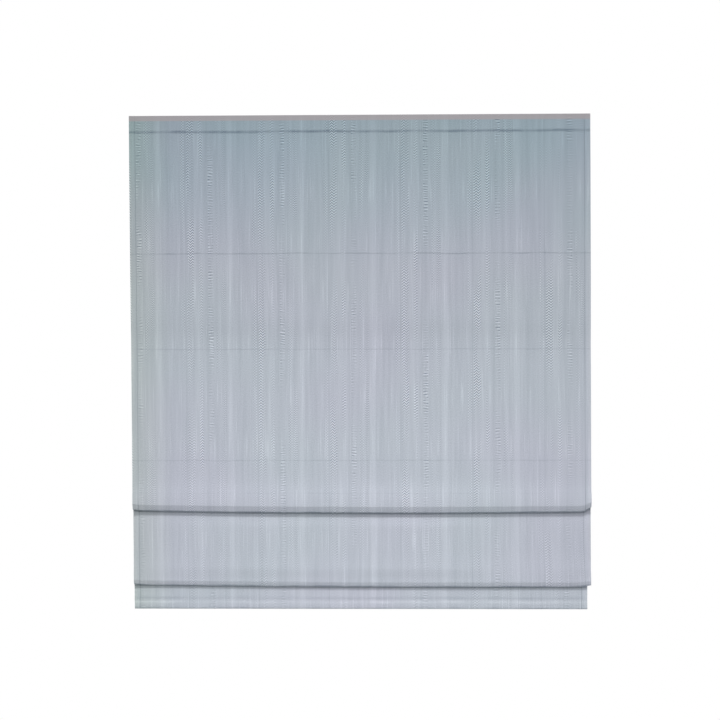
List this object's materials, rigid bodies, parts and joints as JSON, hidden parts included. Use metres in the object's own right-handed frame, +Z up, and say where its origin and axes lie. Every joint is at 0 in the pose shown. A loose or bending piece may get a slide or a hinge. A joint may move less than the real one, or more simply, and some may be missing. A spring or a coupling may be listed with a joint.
{
  "type": "roman blind",
  "caption": "Flat-fold Roman blind in striped jacquard cloth, partly raised in two folds, with headrail, spring lift, stiffening rods, ring clips and weighted hem.",
  "frame": {"origin": "centre of the four wall screw holes in the two brackets, on the wall's plane", "axes": "+Z up, +Y into the wall, +X to the right as seen from the room"},
  "size_m": [1, 0.0479, 1.076],
  "materials": {
    "cloth": "matte",
    "sewn_tape": "matte",
    "cord": "matte",
    "rail_aluminium": "satin",
    "bar_aluminium": "satin",
    "plated_steel": "satin",
    "shaft_steel": "satin",
    "spring_steel": "polished",
    "fibreglass": "satin",
    "clear_plastic": "gloss",
    "grey_plastic": "satin",
    "white_plastic": "satin"
  },
  "bodies": {
    "headrail": {"headrail": "rail_aluminium", "hook_tape": "sewn_tape", "loop_tape": "sewn_tape", "fabric": "cloth", "motor_frame": "white_plastic", "motor_plate": "white_plastic", "storage_axle": "shaft_steel", "power_spring": "spring_steel", "end_cap_left": "white_plastic", "end_cap_right": "white_plastic", "bracket_left": "plated_steel", "bracket_right": "plated_steel", "drum_cradle_left": "white_plastic", "drum_cradle_middle": "white_plastic", "drum_cradle_right": "white_plastic", "lift_cord_left": "cord", "lift_cord_middle": "cord", "lift_cord_right": "cord"},
    "lift_shaft": {"lift_shaft": "shaft_steel", "output_spool": "grey_plastic", "cord_drum_left": "grey_plastic", "cord_drum_middle": "grey_plastic", "cord_drum_right": "grey_plastic"},
    "storage_spool": {"storage_spool": "grey_plastic"},
    "rod_3": {"rod_3": "fibreglass", "rod_3_pocket": "sewn_tape", "rod_3_cap_left": "white_plastic", "rod_3_cap_right": "white_plastic", "rod_3_clips": "clear_plastic"},
    "rod_2": {"rod_2": "fibreglass", "rod_2_pocket": "sewn_tape", "rod_2_cap_left": "white_plastic", "rod_2_cap_right": "white_plastic", "rod_2_clips": "clear_plastic"},
    "rod_1": {"rod_1": "fibreglass", "rod_1_pocket": "sewn_tape", "rod_1_cap_left": "white_plastic", "rod_1_cap_right": "white_plastic", "rod_1_clips": "clear_plastic", "cord_adjusters": "clear_plastic", "hem_bar": "bar_aluminium", "hem_bar_cap_left": "white_plastic", "hem_bar_cap_right": "white_plastic"}
  },
  "joints": [
    {"name": "rod_3_lift", "type": "slide", "parent": "headrail", "child": "rod_3", "axis": [0, 0, 1], "range_m": [0, 0.45], "deforming": ["fabric", "lift_cord_left", "lift_cord_middle", "lift_cord_right"]},
    {"name": "rod_2_lift", "type": "slide", "parent": "rod_3", "child": "rod_2", "axis": [0, 0, 1], "range_m": [-0.124, 0.276], "deforming": ["fabric", "lift_cord_left", "lift_cord_middle", "lift_cord_right"]},
    {"name": "rod_1_lift", "type": "slide", "parent": "rod_2", "child": "rod_1", "axis": [0, 0, 1], "range_m": [-0.4, 0], "deforming": ["fabric", "lift_cord_left", "lift_cord_middle", "lift_cord_right"]},
    {"name": "shaft_spin", "type": "hinge", "parent": "headrail", "child": "lift_shaft", "pos_m": [0, -0.0307, 0.0065], "axis": [1, 0, 0], "range_deg": [-3960, 5480]},
    {"name": "storage_spin", "type": "hinge", "parent": "headrail", "child": "storage_spool", "pos_m": [0.19, -0.0307, -0.0085], "axis": [1, 0, 0], "range_deg": [-5480, 3960]}
  ],
  "couplings": [
    {"joint": "shaft_spin", "follows": "rod_2_lift", "rad_per_m": 131.58},
    {"joint": "storage_spin", "follows": "rod_2_lift", "rad_per_m": -131.58}
  ]
}
